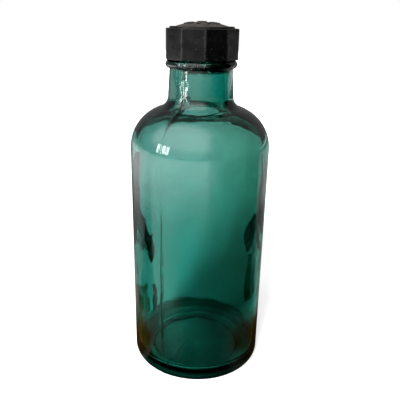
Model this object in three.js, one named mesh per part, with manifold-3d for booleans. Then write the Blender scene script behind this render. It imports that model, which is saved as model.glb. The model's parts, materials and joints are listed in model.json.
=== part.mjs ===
// A half-litre glass bottle with a ten-sided screw cap, in millimetres, +Z up.
// The origin is the middle of the ring that the bottle stands on. Four separate pieces stack up at the mouth:
// the moulded glass bottle, a waxed paper facing on its lip, a cork wad on the facing, and the phenolic cap.
// The cap's thread hangs under the bottle's thread on the same right-hand helix, so turning the cap by an
// angle and lifting it by the same share of the pitch takes it off.
import * as THREE from "three";
import { mergeVertices } from "three/addons/utils/BufferGeometryUtils.js";
import Module from "manifold-3d";

const wasm = await Module();
wasm.setup();

// Bottle: outside
const BODY_RADIUS = 37.5; // at the shoulder
const FOOT_RADIUS = 37.15; // the body draws in a little towards the heel
const HEEL_RADIUS = 5.2;
const SHOULDER_START = 128; // height at which the wall starts to turn in
const SHOULDER_REACH = 23; // the shoulder's convex curve, measured inwards
const SHOULDER_RISE = 22.3; // and upwards
const NECK_FILLET = 6.8;
const NECK_FOOT_RADIUS = 17.25;
const NECK_TOP_RADIUS = 16.4;
const BEAD_MIDDLE = 171.6; // the transfer bead, a ring under the thread
const BEAD_RADIUS = 18.6;
const BEAD_HALF_HEIGHT = 2.1;

// Bottle: the finish, which is everything above the bead
const FINISH_RADIUS = 15; // wall between the threads
const LIP_HEIGHT = 185;
const LIP_ROUND = 0.9;
const BORE_RADIUS = 12.3;

// Bottle: inside and underneath
const WALL = 2.8;
const SHOULDER_WALL = 3.4; // glass gathers at the shoulder
const FLOOR_HEIGHT = 6.4; // inner floor beside the wall
const FLOOR_RISE = 1.8; // by which its middle is higher
const INNER_HEEL = 8.5;
const STANDING_RING = 25; // inner edge of the ring that bears the bottle
const PUSH_UP_EDGE = 1.1; // step up inside that ring
const PUSH_UP_RISE = 3; // height of the hollow underneath, at its middle

// The seam that the two halves of the mould leave, as an angle from the front towards the left
const SEAM_TURN = THREE.MathUtils.degToRad(32);
const SEAM_HEIGHT = 0.3;
const SEAM_WIDTH = 0.7;

// Thread
const PITCH = 4.2;
const THREAD_START = 177.6; // height of the bottle's ridge at its lower end, on the +X side
const CAP_DROP = 1.7; // the cap's ridge lies this far under the bottle's: their flanks keep 0.3 apart
const RUN_OUT = 0.12; // share of a turn over which a ridge dies away at each end
const GLASS_RIDGE = {
  root: FINISH_RADIUS,
  height: 1, // it stands outwards
  halfWidth: 1.25,
  start: THREAD_START,
  from: 0,
  turns: 1.35,
};

// Cap
const SIDES = 10;
const CAP_CORNER_RADIUS = 19.2; // middle of the cap to a corner between two flats
const CAP_TURN = THREE.MathUtils.degToRad(4); // a corner's angle from the front, towards the right
const CORNER_ROUND = 0.7;
const EDGE_BEVEL = 0.35;
const CAP_FOOT = 174;
const CAP_SHOULDER = 189; // top of the flats
const STEP_RADIUS = 16.6; // the round step on top of the flats
const STEP_TOP = 189.9;
const DOME_RADIUS = 13.9;
const DOME_TOP = 192.15;
const DOME_SPHERE = (DOME_RADIUS ** 2 + (DOME_TOP - STEP_TOP) ** 2) / (2 * (DOME_TOP - STEP_TOP));
const CROWN_SINK = 0.5; // the crown's form starts this far above the ceiling, inside the flats
const SKIRT_RADIUS = 16.35; // inside of the skirt, between the threads
const MOUTH_CHAMFER = 0.6;
const CAP_RIDGE = {
  root: SKIRT_RADIUS,
  height: -1.05, // it stands inwards
  halfWidth: 1.2,
  start: THREAD_START - CAP_DROP,
  from: -0.2,
  turns: 1.4,
};

// Raised marks on the dome: a dot in its middle, and a bar to each flat around it
const BAR_MIDDLE = 7.4; // from the axis
const BAR_LENGTH = 4.2;
const BAR_WIDTH = 1.9;
const DOT_WIDTH = 5.2;
const MARK_SINK = 1.1; // how deep a mark's block reaches into the dome
const MARK_STAND = 0.38; // how far it stands out at its middle
const MARK_BEVEL = 0.2;

// Wad
const WAD_RADIUS = 15.9; // wider than the cap's thread, which holds it in
const FACING_THICKNESS = 0.3;
const CEILING = 187.1; // inside top of the cap

// Fineness of the round forms
const ROUND_SEGMENTS = 60;
const THREAD_STEPS = 30; // per turn
const QUARTER = Math.PI / 2;
const FULL_TURN = 2 * Math.PI;

const GLASS = new THREE.MeshStandardMaterial({
  color: 0x2f7f6a,
  roughness: 0.05,
  metalness: 0,
  transparent: true,
  opacity: 0.55,
});
const PHENOLIC = new THREE.MeshStandardMaterial({ color: 0x1c1b1d, roughness: 0.4, metalness: 0 });
const CORK = new THREE.MeshStandardMaterial({ color: 0xb08556, roughness: 0.9, metalness: 0 });
const WAXED_PAPER = new THREE.MeshStandardMaterial({ color: 0xe8dfc6, roughness: 0.6, metalness: 0 });

const at = (radius, height) => new THREE.Vector2(radius, height);

// Points of an ellipse's arc in the plane of radius and height, both ends included.
function arc(middle, reach, rise, fromAngle, toAngle, steps) {
  const points = [];
  for (let i = 0; i <= steps; i++) {
    const angle = THREE.MathUtils.lerp(fromAngle, toAngle, i / steps);
    points.push(at(middle.x + reach * Math.cos(angle), middle.y + rise * Math.sin(angle)));
  }
  return points;
}

// A closed geometry as a solid for cutting and joining.
function solidOf(geometry) {
  const bare = geometry.clone();
  bare.deleteAttribute("normal");
  bare.deleteAttribute("uv");
  const merged = mergeVertices(bare, 1e-4);
  return new wasm.Manifold(
    new wasm.Mesh({
      numProp: 3,
      vertProperties: merged.attributes.position.array,
      triVerts: new Uint32Array(merged.index.array),
    }),
  );
}

// A solid as a geometry with flat-shaded faces.
function geometryOf(solid) {
  const mesh = solid.getMesh();
  const geometry = new THREE.BufferGeometry();
  geometry.setAttribute("position", new THREE.BufferAttribute(new Float32Array(mesh.vertProperties), 3));
  geometry.setIndex(new THREE.BufferAttribute(new Uint32Array(mesh.triVerts), 1));
  const flat = geometry.toNonIndexed();
  flat.computeVertexNormals();
  return flat;
}

// Turns an outline about the Z axis. It runs outwards underneath, up the outside and back on top or inside.
function revolve(outline) {
  const lathe = new THREE.LatheGeometry(outline, ROUND_SEGMENTS);
  lathe.rotateX(QUARTER);
  return solidOf(lathe);
}

// Where the shoulder's convex curve hands over to the fillet at the neck's foot.
// Both are arcs stretched by the same share in height, so their slopes agree where they meet.
function shoulderJoin(middleRadius, reach, rise, fillet, neckRadius) {
  const angle = Math.acos((neckRadius + fillet - middleRadius) / (reach + fillet));
  const stretch = rise / reach;
  return { angle, stretch, neckHeight: SHOULDER_START + stretch * (reach + fillet) * Math.sin(angle) };
}

// The bottle's outside from the edge of the standing ring to the top of the bead.
function outsideOfBottle() {
  const middle = at(BODY_RADIUS - SHOULDER_REACH, SHOULDER_START);
  const join = shoulderJoin(middle.x, SHOULDER_REACH, SHOULDER_RISE, NECK_FILLET, NECK_FOOT_RADIUS);
  const fillet = at(NECK_FOOT_RADIUS + NECK_FILLET, join.neckHeight);
  return [
    ...arc(at(FOOT_RADIUS - HEEL_RADIUS, HEEL_RADIUS), HEEL_RADIUS, HEEL_RADIUS, -QUARTER, 0, 5),
    ...arc(middle, SHOULDER_REACH, SHOULDER_RISE, 0, join.angle, 9),
    ...arc(fillet, NECK_FILLET, NECK_FILLET * join.stretch, join.angle + Math.PI, Math.PI, 4).slice(1),
    ...arc(
      at(NECK_TOP_RADIUS, BEAD_MIDDLE),
      BEAD_RADIUS - NECK_TOP_RADIUS,
      BEAD_HALF_HEIGHT,
      -QUARTER,
      QUARTER,
      6,
    ),
  ];
}

// The bottle's inside, from the bore at the lip down to the middle of the floor.
function insideOfBottle() {
  const reach = SHOULDER_REACH - WALL;
  const rise = SHOULDER_RISE - SHOULDER_WALL;
  const middle = at(BODY_RADIUS - SHOULDER_REACH, SHOULDER_START);
  const fillet = NECK_FILLET + WALL;
  const neckRadius = BORE_RADIUS + 0.6; // the bore opens a little towards the shoulder
  const join = shoulderJoin(middle.x, reach, rise, fillet, neckRadius);
  const neckFoot = at(neckRadius + fillet, join.neckHeight);
  return [
    ...arc(at(BORE_RADIUS + LIP_ROUND, LIP_HEIGHT - LIP_ROUND), LIP_ROUND, LIP_ROUND, QUARTER, Math.PI, 2),
    ...arc(neckFoot, fillet, fillet * join.stretch, Math.PI, join.angle + Math.PI, 4),
    ...arc(middle, reach, rise, join.angle, 0, 7).slice(1),
    ...arc(
      at(FOOT_RADIUS - WALL - INNER_HEEL, FLOOR_HEIGHT + INNER_HEEL),
      INNER_HEEL,
      INNER_HEEL,
      0,
      -QUARTER,
      4,
    ),
    at(STANDING_RING * 0.55, FLOOR_HEIGHT + FLOOR_RISE * 0.75),
    at(0, FLOOR_HEIGHT + FLOOR_RISE),
  ];
}

// The hollow pressed up into the underside, from its middle out to the standing ring.
function underside() {
  const edge = STANDING_RING - PUSH_UP_EDGE;
  const dome = [];
  const steps = 3;
  for (let i = 0; i <= steps; i++) {
    const radius = (edge * i) / steps;
    const fall = (radius / edge) ** 2;
    dome.push(at(radius, THREE.MathUtils.lerp(PUSH_UP_RISE, PUSH_UP_EDGE, fall)));
  }
  return [...dome, at(STANDING_RING, 0)];
}

// The fin where the mould's halves met, on one side, as a plate that stands proud of the outside.
function seamFin(turn) {
  const outside = outsideOfBottle();
  const slopes = outside.map((point, i) => {
    const before = outside[Math.max(i - 1, 0)];
    const after = outside[Math.min(i + 1, outside.length - 1)];
    return after.clone().sub(before).normalize();
  });
  const offset = (distance) =>
    outside.map((point, i) => at(point.x + slopes[i].y * distance, point.y - slopes[i].x * distance));
  const rim = offset(SEAM_HEIGHT);
  const sunk = offset(-WALL / 3);
  rim[0].y = SEAM_HEIGHT; // the fin ends above the standing ring
  const plate = new THREE.ExtrudeGeometry(new THREE.Shape([...rim, ...sunk.reverse()]), {
    depth: SEAM_WIDTH,
    bevelEnabled: false,
    steps: 1,
  });
  plate.translate(0, 0, -SEAM_WIDTH / 2);
  plate.rotateX(QUARTER);
  plate.rotateZ(turn);
  return solidOf(plate);
}

// A helical ridge with a rounded crest. It dies away at both ends, and its back lies inside the wall.
function threadRidge({ root, height, halfWidth, start, from, turns }) {
  const steps = Math.round(THREAD_STEPS * turns);
  const across = 4; // facets over the crest
  const back = root - Math.sign(height) * 0.7; // inside the wall
  const positions = [];
  for (let i = 0; i <= steps; i++) {
    const turn = from + (turns * i) / steps;
    const toEnd = Math.min(turn - from, from + turns - turn) / RUN_OUT;
    const swell = 0.08 + 0.92 * Math.sin(QUARTER * Math.min(toEnd, 1));
    const angle = turn * FULL_TURN;
    const place = (radius, up) => {
      const z = start + PITCH * turn + up;
      positions.push(radius * Math.cos(angle), radius * Math.sin(angle), z);
    };
    for (let j = 0; j <= across; j++) {
      const s = (2 * j) / across - 1;
      place(root + height * swell * Math.cos(s * QUARTER), s * halfWidth * (0.4 + 0.6 * swell));
    }
    place(back, halfWidth);
    place(back, -halfWidth);
  }
  const ring = across + 3;
  const faces = [];
  for (let i = 0; i < steps; i++) {
    for (let j = 0; j < ring; j++) {
      const a = i * ring + j;
      const b = i * ring + ((j + 1) % ring);
      faces.push(a, a + ring, b, b, a + ring, b + ring);
    }
  }
  for (let j = 1; j < ring - 1; j++) {
    const last = steps * ring;
    faces.push(0, j, j + 1, last, last + j + 1, last + j);
  }
  if (height < 0) faces.reverse(); // an inward ridge's section runs the other way round
  const geometry = new THREE.BufferGeometry();
  geometry.setAttribute("position", new THREE.Float32BufferAttribute(positions, 3));
  geometry.setIndex(faces);
  return solidOf(geometry);
}

// The bottle: one outline for the outside and the inside, then the seams and the thread.
function bottleSolid() {
  const outline = [
    ...underside(),
    ...outsideOfBottle(),
    at(FINISH_RADIUS + 0.5, BEAD_MIDDLE + BEAD_HALF_HEIGHT),
    at(FINISH_RADIUS, BEAD_MIDDLE + BEAD_HALF_HEIGHT + 0.5),
    ...arc(at(FINISH_RADIUS - LIP_ROUND, LIP_HEIGHT - LIP_ROUND), LIP_ROUND, LIP_ROUND, 0, QUARTER, 2),
    ...insideOfBottle(),
  ];
  const front = -QUARTER - SEAM_TURN;
  return revolve(outline)
    .add(seamFin(front))
    .add(seamFin(front + Math.PI))
    .add(threadRidge(GLASS_RIDGE));
}

// The ten flats, with rounded corners and bevelled edges.
function flatsOfCap() {
  const shape = new THREE.Shape();
  const apothem = CAP_CORNER_RADIUS * Math.cos(Math.PI / SIDES);
  const roundMiddle = (apothem - EDGE_BEVEL - CORNER_ROUND) / Math.cos(Math.PI / SIDES);
  for (let side = 0; side < SIDES; side++) {
    const corner = (side / SIDES) * FULL_TURN - QUARTER + CAP_TURN;
    const half = Math.PI / SIDES;
    const x = roundMiddle * Math.cos(corner);
    const y = roundMiddle * Math.sin(corner);
    if (side === 0) {
      shape.moveTo(x + CORNER_ROUND * Math.cos(corner - half), y + CORNER_ROUND * Math.sin(corner - half));
    }
    shape.absarc(x, y, CORNER_ROUND, corner - half, corner + half, false);
  }
  const prism = new THREE.ExtrudeGeometry(shape, {
    depth: CAP_SHOULDER - CAP_FOOT - 2 * EDGE_BEVEL,
    curveSegments: 3,
    bevelThickness: EDGE_BEVEL,
    bevelSize: EDGE_BEVEL,
    bevelSegments: 1,
  });
  prism.translate(0, 0, CAP_FOOT + EDGE_BEVEL);
  return solidOf(prism);
}

// The dome's height at a distance from the axis.
function domeHeight(radius) {
  return DOME_TOP - DOME_SPHERE + Math.sqrt(DOME_SPHERE ** 2 - radius ** 2);
}

// The round step and the dome on top of the flats, as one turned form that reaches into them.
function crownOfCap() {
  const dome = [];
  const steps = 5;
  for (let i = steps; i >= 0; i--) {
    const radius = (DOME_RADIUS * i) / steps;
    dome.push(at(radius, domeHeight(radius)));
  }
  return revolve([
    at(0, CEILING + CROWN_SINK),
    at(STEP_RADIUS, CEILING + CROWN_SINK),
    at(STEP_RADIUS, STEP_TOP - EDGE_BEVEL / 2),
    at(STEP_RADIUS - EDGE_BEVEL / 2, STEP_TOP),
    ...dome,
  ]);
}

// One raised mark on the dome: a block with round ends, laid on the dome's slope and turned about the axis.
function domeMark(middle, length, width, turn) {
  const outline = new THREE.Shape();
  const half = width / 2;
  const straight = (length - width) / 2;
  outline.absarc(straight, 0, half, -QUARTER, QUARTER, false);
  outline.absarc(-straight, 0, half, QUARTER, 3 * QUARTER, false);
  const block = new THREE.ExtrudeGeometry(outline, {
    depth: MARK_SINK + MARK_STAND - MARK_BEVEL,
    curveSegments: 5,
    bevelThickness: MARK_BEVEL,
    bevelSize: MARK_BEVEL,
    bevelOffset: -MARK_BEVEL,
    bevelSegments: 1,
  });
  block.translate(0, 0, -MARK_SINK);
  block.rotateY(Math.asin(middle / DOME_SPHERE));
  block.translate(middle, 0, domeHeight(middle));
  block.rotateZ(turn);
  return solidOf(block);
}

// The cap: flats and crown, hollowed from below, with the thread standing in from the skirt.
function capSolid() {
  const hollow = revolve([
    at(0, CAP_FOOT - 1),
    at(SKIRT_RADIUS + MOUTH_CHAMFER + 1, CAP_FOOT - 1),
    at(SKIRT_RADIUS, CAP_FOOT + MOUTH_CHAMFER),
    at(SKIRT_RADIUS, CEILING),
    at(0, CEILING),
  ]);
  let cap = flatsOfCap().add(crownOfCap()).add(domeMark(0, DOT_WIDTH, DOT_WIDTH, 0));
  for (let side = 0; side < SIDES; side++) {
    const turn = ((side + 0.5) / SIDES) * FULL_TURN - QUARTER + CAP_TURN;
    cap = cap.add(domeMark(BAR_MIDDLE, BAR_LENGTH, BAR_WIDTH, turn));
  }
  return cap.subtract(hollow).add(threadRidge(CAP_RIDGE));
}

// A punched disc between two heights.
function discSolid(radius, foot, top) {
  return revolve([at(0, foot), at(radius, foot), at(radius, top), at(0, top)]);
}

function piece(name, solid, material) {
  const mesh = new THREE.Mesh(geometryOf(solid), material);
  mesh.name = name;
  return mesh;
}

const bottle = new THREE.Group();
bottle.add(piece("bottle", bottleSolid(), GLASS));

const closure = new THREE.Group();
closure.add(
  piece("wad_facing", discSolid(WAD_RADIUS, LIP_HEIGHT, LIP_HEIGHT + FACING_THICKNESS), WAXED_PAPER),
  piece("cork_wad", discSolid(WAD_RADIUS, LIP_HEIGHT + FACING_THICKNESS, CEILING), CORK),
  piece("screw_cap", capSolid(), PHENOLIC),
);

const part = new THREE.Group();
part.add(bottle, closure);

export default part;
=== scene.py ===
"""Dresses the packed half-litre bottle: moulded green glass, a phenolic screw cap, a cork wad with a waxed facing,
and a small studio around them. All lengths are in metres, in the packed model's own frame, with +Z up.
"""

import json
import math

import bpy
from mathutils import Matrix, Vector, noise


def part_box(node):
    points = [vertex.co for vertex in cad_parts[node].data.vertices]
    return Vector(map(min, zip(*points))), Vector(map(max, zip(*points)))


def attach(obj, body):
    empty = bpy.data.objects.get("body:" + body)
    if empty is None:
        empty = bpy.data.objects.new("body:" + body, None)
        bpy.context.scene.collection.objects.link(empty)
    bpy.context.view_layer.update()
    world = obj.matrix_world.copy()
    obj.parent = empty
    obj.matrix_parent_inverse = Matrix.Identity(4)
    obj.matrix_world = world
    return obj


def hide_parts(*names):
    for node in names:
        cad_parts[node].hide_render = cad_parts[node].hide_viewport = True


bl_info = {
    "name": "Half-litre glass bottle",
    "version": (1, 0, 0),
    "blender": (4, 5, 0),
    "location": "View3D > Sidebar > Bottle",
    "description": "Moulds a glass bottle with its screw cap and wad around the packed model",
    "category": "Add Mesh",
}

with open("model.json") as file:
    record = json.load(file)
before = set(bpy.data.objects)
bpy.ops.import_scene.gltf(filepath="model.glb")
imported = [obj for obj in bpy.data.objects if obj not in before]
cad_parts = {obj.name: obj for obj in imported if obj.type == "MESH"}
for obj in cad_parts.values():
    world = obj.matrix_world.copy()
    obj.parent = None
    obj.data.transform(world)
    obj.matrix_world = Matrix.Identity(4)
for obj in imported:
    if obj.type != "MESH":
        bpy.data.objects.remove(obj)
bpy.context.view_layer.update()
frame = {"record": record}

MM = 0.001
QUARTER = math.pi / 2
FULL_TURN = 2 * math.pi
WHITE = (1.0, 1.0, 1.0)
LEFT, RIGHT, BACK, UP = (-1.0, 0.0, 0.0), (1.0, 0.0, 0.0), (0.0, 1.0, 0.0), (0.0, 0.0, 1.0)

# A colour mix's sockets for its share and its two colours, and the one for its result
MIX_INPUTS, MIX_OUTPUT = (0, 6, 7), 2

# Surfaces that a ray meets straight through the bottle: both faces of its two walls
WALL_SURFACES = 4.0

# Half the side of the floor, how far behind the axis the upright cards stand, and how high the others lie
FLOOR_HALF, CARDS_BACK, CARDS_LIFT = 3.0, 0.13, 0.3 * MM

# Outlines of the upright dark cards, in places to the right and heights
UPRIGHT_CARDS = {
    "left_card": (
        (-0.0495, 0.0), (-0.049, 0.005), (-0.0515, 0.012), (-0.053, 0.02), (-0.0575, 0.026), (-0.064, 0.033),
        (-0.072, 0.04), (-0.088, 0.047), (-0.1, 0.056), (-0.112, 0.072), (-0.6, 0.16), (-0.6, 0.0),
        (-0.085, 0.0), (-0.076, 0.003), (-0.066, 0.002), (-0.06, 0.0),
    ),
    "right_card": (
        (0.0485, 0.004), (0.049, 0.01), (0.051, 0.016), (0.057, 0.023), (0.059, 0.031), (0.073, 0.037),
        (0.1, 0.04), (0.13, 0.054), (0.15, 0.075), (0.6, 0.14), (0.6, 0.0), (0.17, 0.0),
        (0.14, 0.012), (0.1, 0.014), (0.085, 0.011), (0.07, 0.008), (0.06, 0.003), (0.05, 0.0),
    ),
}

# Shades and outlines of the cards that lie just over the floor, in places to the right and to the back
LYING_CARDS = {
    "left_tip_card": ("charcoal", (
        (-0.18, CARDS_BACK), (-0.17, 0.114), (-0.12, 0.123), (-0.075, 0.129), (-0.057, 0.122), (-0.052, 0.118),
        (-0.0495, 0.122), (-0.049, CARDS_BACK),
    )),
    "right_tip_card": ("charcoal", (
        (0.09, CARDS_BACK), (0.11, 0.118), (0.15, 0.105), (0.4, 0.09), (0.5, CARDS_BACK),
    )),
    "left_streak_card": ("charcoal", (
        (-0.046, 0.072), (-0.04, 0.077), (-0.0345, 0.056), (-0.031, 0.042), (-0.034, 0.034), (-0.041, 0.053),
    )),
    "right_strip_card": ("olive", (
        (0.05, CARDS_BACK), (0.049, 0.086), (0.046, 0.05), (0.056, 0.047), (0.062, 0.084), (0.072, CARDS_BACK),
    )),
    "left_moss_card": ("moss", (
        (-0.08, 0.018), (-0.044, 0.022), (-0.04, 0.036), (-0.044, 0.05), (-0.056, 0.072), (-0.09, 0.06),
    )),
}

# Corners of the dark card far behind the bottle, and of the one at its front right
FAR_CARD = ((0.08, 0.6, 0.1), (0.9, 0.6, 0.1), (0.9, 0.6, 0.6), (0.08, 0.6, 0.6))
FRONT_CARD = ((0.2, 0.043, 0.0), (0.03, -0.2, 0.0), (0.03, -0.2, 0.32), (0.2, 0.043, 0.32))

# Sizes that the packed model holds
BOTTLE_LOW, BOTTLE_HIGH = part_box("bottle")
CAP_LOW, CAP_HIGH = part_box("screw_cap")
WAD_LOW, WAD_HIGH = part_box("cork_wad")
FACING_LOW, FACING_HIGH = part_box("wad_facing")
THREAD_PITCH = frame["record"]["behaviour"]["couplings"][0]["ratio"] * FULL_TURN


def length(name, description, default, most=1.0):
    """A property that holds a length in metres."""
    return bpy.props.FloatProperty(
        name=name, description=description, default=default, min=0, max=most, precision=5, unit="LENGTH"
    )


def turn(name, description, degrees):
    """A property that holds an angle, given here in degrees."""
    return bpy.props.FloatProperty(
        name=name, description=description, default=math.radians(degrees), precision=4, subtype="ANGLE"
    )


def amount(name, description, default, least=0.0, most=1.0):
    """A property that holds a plain number."""
    return bpy.props.FloatProperty(
        name=name, description=description, default=default, min=least, max=most, precision=4
    )


def colour(name, description, default):
    """A property that holds a linear colour."""
    return bpy.props.FloatVectorProperty(
        name=name, description=description, default=default, min=0, max=1, size=3, subtype="COLOR"
    )


class GlassSettings(bpy.types.PropertyGroup):
    """Form and finish of the moulded bottle."""

    body_radius: length("Body radius", "At the shoulder", (BOTTLE_HIGH.x - BOTTLE_LOW.x) / 2)
    foot_radius: length("Foot radius", "Just above the heel", 37.15 * MM)
    heel_radius: length("Heel", "Rounding between wall and base", 5.2 * MM)
    shoulder_start: length("Shoulder start", "Height at which the wall turns in", 128 * MM)
    shoulder_reach: length("Shoulder reach", "The shoulder's curve, measured inwards", 23 * MM)
    shoulder_rise: length("Shoulder rise", "The shoulder's curve, measured upwards", 22.3 * MM)
    neck_fillet: length("Neck fillet", "Hollow curve at the foot of the neck", 6.8 * MM)
    neck_foot_radius: length("Neck foot radius", "At the fillet", 17.25 * MM)
    neck_top_radius: length("Neck top radius", "Under the bead", 16.4 * MM)
    bead_height: length("Bead height", "Middle of the ring under the cap", 171.6 * MM)
    bead_radius: length("Bead radius", "Outermost point of the ring", 18.6 * MM)
    bead_half: length("Bead half height", "From the ring's middle to its edge", 2.1 * MM)
    finish_radius: length("Finish radius", "Wall between the threads", 15 * MM)
    lip_height: length("Lip height", "Top of the glass", BOTTLE_HIGH.z)
    lip_round: length("Lip rounding", "On both edges of the lip", 0.9 * MM)
    bore_radius: length("Bore radius", "At the lip", 12.3 * MM)
    wall: length("Wall", "Thickness of the body", 2.8 * MM)
    shoulder_wall: length("Shoulder wall", "Thickness on top of the shoulder", 3.4 * MM)
    floor_height: length("Floor height", "Inner floor beside the wall", 6.4 * MM)
    floor_rise: length("Floor rise", "By which its middle is higher", 1.8 * MM)
    inner_heel: length("Inner heel", "Rounding between inner wall and floor", 4.8 * MM)
    standing_ring: length("Standing ring", "Inner radius of the ring that bears the bottle", 25 * MM)
    push_up_edge: length("Push-up edge", "Step up inside the standing ring", 1.1 * MM)
    push_up_rise: length("Push-up rise", "Height of the hollow underneath", 3 * MM)
    seam_turn: turn("Seam turn", "From the front towards the left", 32)
    seam_height: length("Seam height", "Fin left where the mould's halves met", 0.28 * MM)
    seam_half: length("Seam half width", "From its crest to its foot", 0.7 * MM)
    seam_step: length("Seam step", "By which the mould's halves stand off each other", 0.1 * MM)
    wave: length("Wave", "Unevenness of the outside", 0.05 * MM)
    inner_wave: length("Inner wave", "Unevenness of the inside, which no mould touched", 0.45 * MM)
    thread_start: length("Thread start", "Height of the ridge at its lower end", 177.6 * MM)
    thread_height: length("Thread height", "Of the ridge", 1.0 * MM)
    thread_half: length("Thread half width", "Of the ridge at its root", 1.25 * MM)
    thread_turns: amount("Thread turns", "Length of the ridge", 1.35, most=3)
    tint: colour("Tint", "What the glass lets pass, per absorption length", (0.0, 0.55, 0.475))
    density: amount("Density", "Absorption per metre", 355, most=5000)
    # Painted shade: these three tones darken the glass down the body, towards the base and at the right, for the
    # dim floor and the bottle's shadow seen through it; the right side is no thicker.
    body_painted_shade: colour("Body tone", "Shade of the glass half way up the body", (0.46, 0.8, 0.76))
    right_painted_shade: colour("Thick side tone", "Shade of the glass at the right, where it is thicker", (0.78, 0.85, 0.8))
    base_painted_shade: colour("Base tone", "Shade of the glass at the base", (0.3, 0.8, 0.74))


class CapSettings(bpy.types.PropertyGroup):
    """Form and finish of the screw cap."""

    sides: bpy.props.IntProperty(name="Sides", description="Number of flats", default=10, min=3, max=24)
    corner_radius: length("Corner radius", "From the axis to a corner", 19.2 * MM)
    cap_turn: turn("Turn", "A corner's angle from the front, towards the right", 4)
    corner_round: length("Corner rounding", "Between two flats", 0.7 * MM)
    edge_round: length("Edge rounding", "At the top and the foot of the flats", 0.45 * MM)
    foot: length("Foot", "Height of the cap's lower edge", CAP_LOW.z)
    flats_top: length("Top of flats", "Height of their upper edge", 189 * MM)
    step_radius: length("Step radius", "The round step on the flats", 16.6 * MM)
    step_top: length("Step top", "Height of that step", 189.9 * MM)
    dome_radius: length("Dome radius", "Edge of the dome", 13.9 * MM)
    dome_top: length("Dome top", "Height of its middle", 192.15 * MM)
    skirt_radius: length("Skirt radius", "Inside wall between the threads", 16.35 * MM)
    chamfer: length("Chamfer", "At the mouth", 0.6 * MM)
    ceiling: length("Ceiling", "Inside top, where the wad lies", WAD_HIGH.z)
    thread_drop: length("Thread drop", "How far its ridge lies under the bottle's", 1.7 * MM)
    thread_height: length("Thread height", "Of the ridge, inwards", 1.05 * MM)
    thread_half: length("Thread half width", "Of the ridge at its root", 1.2 * MM)
    thread_from: amount("Thread from", "Turn at which the ridge starts", -0.2, least=-1)
    thread_turns: amount("Thread turns", "Length of the ridge", 1.4, most=3)
    bar_middle: length("Bar middle", "Distance of the raised bars from the axis", 7.4 * MM)
    bar_length: length("Bar length", "Of the raised bars", 4.2 * MM)
    bar_width: length("Bar width", "Of the raised bars", 1.9 * MM)
    dot_width: length("Dot width", "Of the raised dot", 5.2 * MM)
    mark_stand: length("Mark height", "How far the dot and the bars stand out", CAP_HIGH.z - 192.15 * MM)
    phenolic: colour("Phenolic", "Body colour of the moulding", (0.0008, 0.0008, 0.001))
    # Partly painted light: pale dust on the faces that look up, which also stands in for the light that the top
    # catches.
    top_dust_and_light: colour("Dust", "What has settled on top", (0.066, 0.06, 0.053))


class LinerSettings(bpy.types.PropertyGroup):
    """Form and finish of the wad and its facing."""

    wad_round: length("Wad rounding", "On the edges of the cork disc", 0.25 * MM)
    pressed: length("Pressed ring", "Depth of the ring that the lip leaves in the facing", 0.06 * MM)
    cork: colour("Cork", "Pale granules", (0.50, 0.30, 0.14))
    bark: colour("Bark", "Dark granules", (0.12, 0.055, 0.022))
    paper: colour("Paper", "Waxed facing", (0.78, 0.70, 0.54))


class StudioSettings(bpy.types.PropertyGroup):
    """Camera, lamps, floor and cards."""

    focal: amount("Focal length", "In millimetres, on a 36 mm sensor", 45.9, least=10, most=300)
    shift: amount("Shift", "Of the picture's middle, as a share of its width", 0.03, least=-1)
    pitch: turn("Pitch", "Camera's tilt downwards", 19.777)
    roll: turn("Roll", "Camera's tilt to the side", 0.694)
    distance: length("Distance", "From the axis to the camera, along the floor", 272.7 * MM)
    eye_height: length("Eye height", "Of the camera above the floor", 194.45 * MM)
    sideways: length("Sideways", "How far left of the axis the camera stands", 6.05 * MM)
    fill: amount("Fill", "Strength of the even light from all sides", 0.2, most=5)
    sheen: amount("Sheen", "How bright the room looks in a gloss", 0.21, most=5)
    bright: amount("Bright side", "How bright the floor at the left looks in a gloss", 2.1, most=10)
    ceiling: amount("Ceiling", "How bright the room over the bottle looks in a gloss", 2.5, most=10)
    key_turn: turn("Key turn", "Main lamp, from the front towards the left", 22.5)
    key_rise: turn("Key rise", "Main lamp, above the floor", 33)
    key_strength: amount("Key strength", "Of the main lamp", 4.9, most=20)
    key_spread: turn("Key spread", "Width of the main lamp as seen from the bottle", 18)
    window_turn: turn("Window turn", "From the front towards the left", 62)
    window_rise: turn("Window rise", "Above the bottle's shoulder", 11)
    window_distance: length("Window distance", "From the shoulder", 0.9)
    window_power: amount("Window power", "Of all panes together, in watts", 5.0, most=100)
    floor_colour: colour("Floor", "Colour of the floor", (0.9, 0.9, 0.9))
    charcoal: colour("Charcoal", "Colour of the dark cards", (0.004, 0.004, 0.004))
    umber: colour("Umber", "Colour of the floor beside the foot, through the glass", (0.8, 0.07, 0.012))
    gloss_umber: colour("Gloss umber", "Colour of the floor beside the foot, in a gloss", (0.13, 0.065, 0.02))
    olive: colour("Olive", "Colour of the strip that shows at the right", (0.03, 0.035, 0.008))
    moss: colour("Moss", "Colour of the card that shows low at the left", (0.6, 0.22, 0.08))


def ellipse(middle, reach, rise, start, end, steps):
    """Points of an ellipse's arc in the plane of radius and height, both ends included."""
    points = []
    for i in range(steps + 1):
        angle = start + (end - start) * i / steps
        points.append((middle[0] + reach * math.cos(angle), middle[1] + rise * math.sin(angle)))
    return points


def straight(start, end, steps):
    """Points between two points, without both ends."""
    return [
        (start[0] + (end[0] - start[0]) * i / steps, start[1] + (end[1] - start[1]) * i / steps)
        for i in range(1, steps)
    ]


def smooth_step(value):
    """0 below 0, 1 above 1, and a smooth rise between them."""
    t = min(max(value, 0.0), 1.0)
    return t * t * (3 - 2 * t)


def around(angle, distance, height):
    """The point at an angle round the axis, at a distance from it and at a height."""
    return Vector((distance * math.cos(angle), distance * math.sin(angle), height))


def turned_rings(outline, angles):
    """Rings of points for an outline of distances and heights that is turned round the axis."""
    return [[around(angle, distance, height) for angle in angles] for distance, height in outline]


def nearest_turn(angle):
    """The same angle between minus and plus half a turn."""
    return (angle + math.pi) % FULL_TURN - math.pi


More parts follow.
